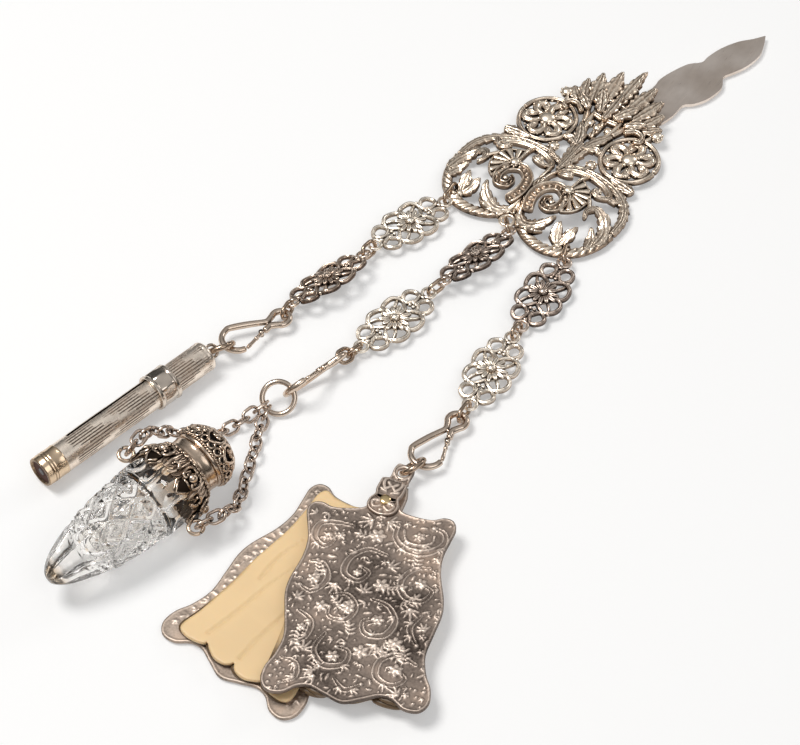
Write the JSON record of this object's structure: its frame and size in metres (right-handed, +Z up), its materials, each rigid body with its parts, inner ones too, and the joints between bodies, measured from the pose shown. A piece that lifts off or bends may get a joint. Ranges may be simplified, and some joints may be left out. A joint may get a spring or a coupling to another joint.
{
  "type": "chatelaine",
  "caption": "Pierced plaque with a belt tongue, from which link strands end in spring hooks that hold a sliding pencil, a capped scent bottle and a fan of memo leaves, all lying flat.",
  "frame": {"origin": "on the table under the middle of the whole laid-out piece", "axes": "+Y up the plaque to the tip of the belt tongue, +X to the right as the plaque is read, +Z up from the table"},
  "size_m": [0.1251, 0.2794, 0.0231],
  "materials": {
    "cast_silver": "antique cast silver, oxidised in the recesses",
    "plain_silver": "scratched plain silver",
    "wire_silver": "drawn silver wire",
    "hook_silver": "worn silver wire with brown tones",
    "turned_silver": "silver with fine lengthwise lines",
    "dark_wood": "dark reddish brown",
    "lead": "grey pencil lead",
    "cut_glass": "colourless cut glass",
    "gilt_silver": "worn gilt on silver",
    "dark_silver": "dark repousse silver",
    "ivory": "cream ivory"
  },
  "bodies": {
    "chatelaine": {"plaque": "cast_silver", "belt_hook": "plain_silver", "ring_l1": "wire_silver", "link_l1": "cast_silver", "ring_l2": "wire_silver", "link_l2": "cast_silver", "ring_l3": "wire_silver", "clip_l": "hook_silver", "ring_m1": "wire_silver", "link_m1": "cast_silver", "ring_m2": "wire_silver", "link_m2": "cast_silver", "ring_m3": "wire_silver", "ring_m4": "wire_silver", "clip_m": "hook_silver", "ring_r1": "wire_silver", "link_r1": "cast_silver", "ring_r2": "wire_silver", "link_r2": "cast_silver", "ring_r3": "wire_silver", "clip_r": "hook_silver", "bow_pencil": "wire_silver", "pencil_sleeve": "turned_silver", "ring_bottle": "wire_silver", "chain_left": "wire_silver", "chain_right": "wire_silver", "bottle_glass": "cut_glass", "bottle_mount": "gilt_silver", "ring_memo": "wire_silver", "memo_shackle": "dark_silver", "memo_rivet": "gilt_silver"},
    "memo_back": {"memo_back": "dark_silver"},
    "memo_leaf_1": {"memo_leaf_1": "ivory"},
    "memo_leaf_2": {"memo_leaf_2": "ivory"},
    "memo_leaf_3": {"memo_leaf_3": "ivory"},
    "memo_leaf_4": {"memo_leaf_4": "ivory"},
    "memo_front": {"memo_front": "dark_silver"},
    "gate_left": {"gate_l": "hook_silver"},
    "gate_middle": {"gate_m": "hook_silver"},
    "gate_right": {"gate_r": "hook_silver"},
    "pencil": {"pencil_slider": "turned_silver", "pencil_wood": "dark_wood", "pencil_lead": "lead"},
    "bottle_cap": {"bottle_cap": "gilt_silver"}
  },
  "joints": [
    {"name": "back_swing", "type": "hinge", "parent": "chatelaine", "child": "memo_back", "pos_m": [0.01934, -0.07351, 0], "axis": [0, 0, 1], "range_deg": [-2.5, 29.5]},
    {"name": "leaf_1_swing", "type": "hinge", "parent": "chatelaine", "child": "memo_leaf_1", "pos_m": [0.01934, -0.07351, 0], "axis": [0, 0, 1], "range_deg": [-2.5, 29.5]},
    {"name": "leaf_2_swing", "type": "hinge", "parent": "chatelaine", "child": "memo_leaf_2", "pos_m": [0.01934, -0.07351, 0], "axis": [0, 0, 1], "range_deg": [-3.5, 28.5]},
    {"name": "leaf_3_swing", "type": "hinge", "parent": "chatelaine", "child": "memo_leaf_3", "pos_m": [0.01934, -0.07351, 0], "axis": [0, 0, 1], "range_deg": [-25, 10]},
    {"name": "leaf_4_swing", "type": "hinge", "parent": "chatelaine", "child": "memo_leaf_4", "pos_m": [0.01934, -0.07351, 0], "axis": [0, 0, 1], "range_deg": [-25, 10]},
    {"name": "front_swing", "type": "hinge", "parent": "chatelaine", "child": "memo_front", "pos_m": [0.01934, -0.07351, 0], "axis": [0, 0, 1], "range_deg": [-29.5, 55]},
    {"name": "gate_left_swing", "type": "hinge", "parent": "chatelaine", "child": "gate_left", "pos_m": [-0.04212, -0.04554, 0.0036], "axis": [-0.005, -0.0131, -0.9999], "range_deg": [0, 15], "stiffness_Nm_per_rad": 0.002, "springref_deg": -5.73},
    {"name": "gate_middle_swing", "type": "hinge", "parent": "chatelaine", "child": "gate_middle", "pos_m": [-0.01994, -0.04887, 0.00647], "axis": [0.8465, -0.1863, -0.4987], "range_deg": [0, 15], "stiffness_Nm_per_rad": 0.002, "springref_deg": -5.73},
    {"name": "gate_right_swing", "type": "hinge", "parent": "chatelaine", "child": "gate_right", "pos_m": [0.01974, -0.04653, 0.003], "axis": [0, -0.014, -0.9999], "range_deg": [0, 15], "stiffness_Nm_per_rad": 0.002, "springref_deg": -5.73},
    {"name": "pencil_slide", "type": "slide", "parent": "chatelaine", "child": "pencil", "axis": [-0.1736, -0.9848, 0], "range_m": [0, 0.026]},
    {"name": "cap_lift", "type": "slide", "parent": "chatelaine", "child": "bottle_cap", "axis": [0.1649, 0.9853, 0.0436], "range_m": [0, 0.004]}
  ]
}
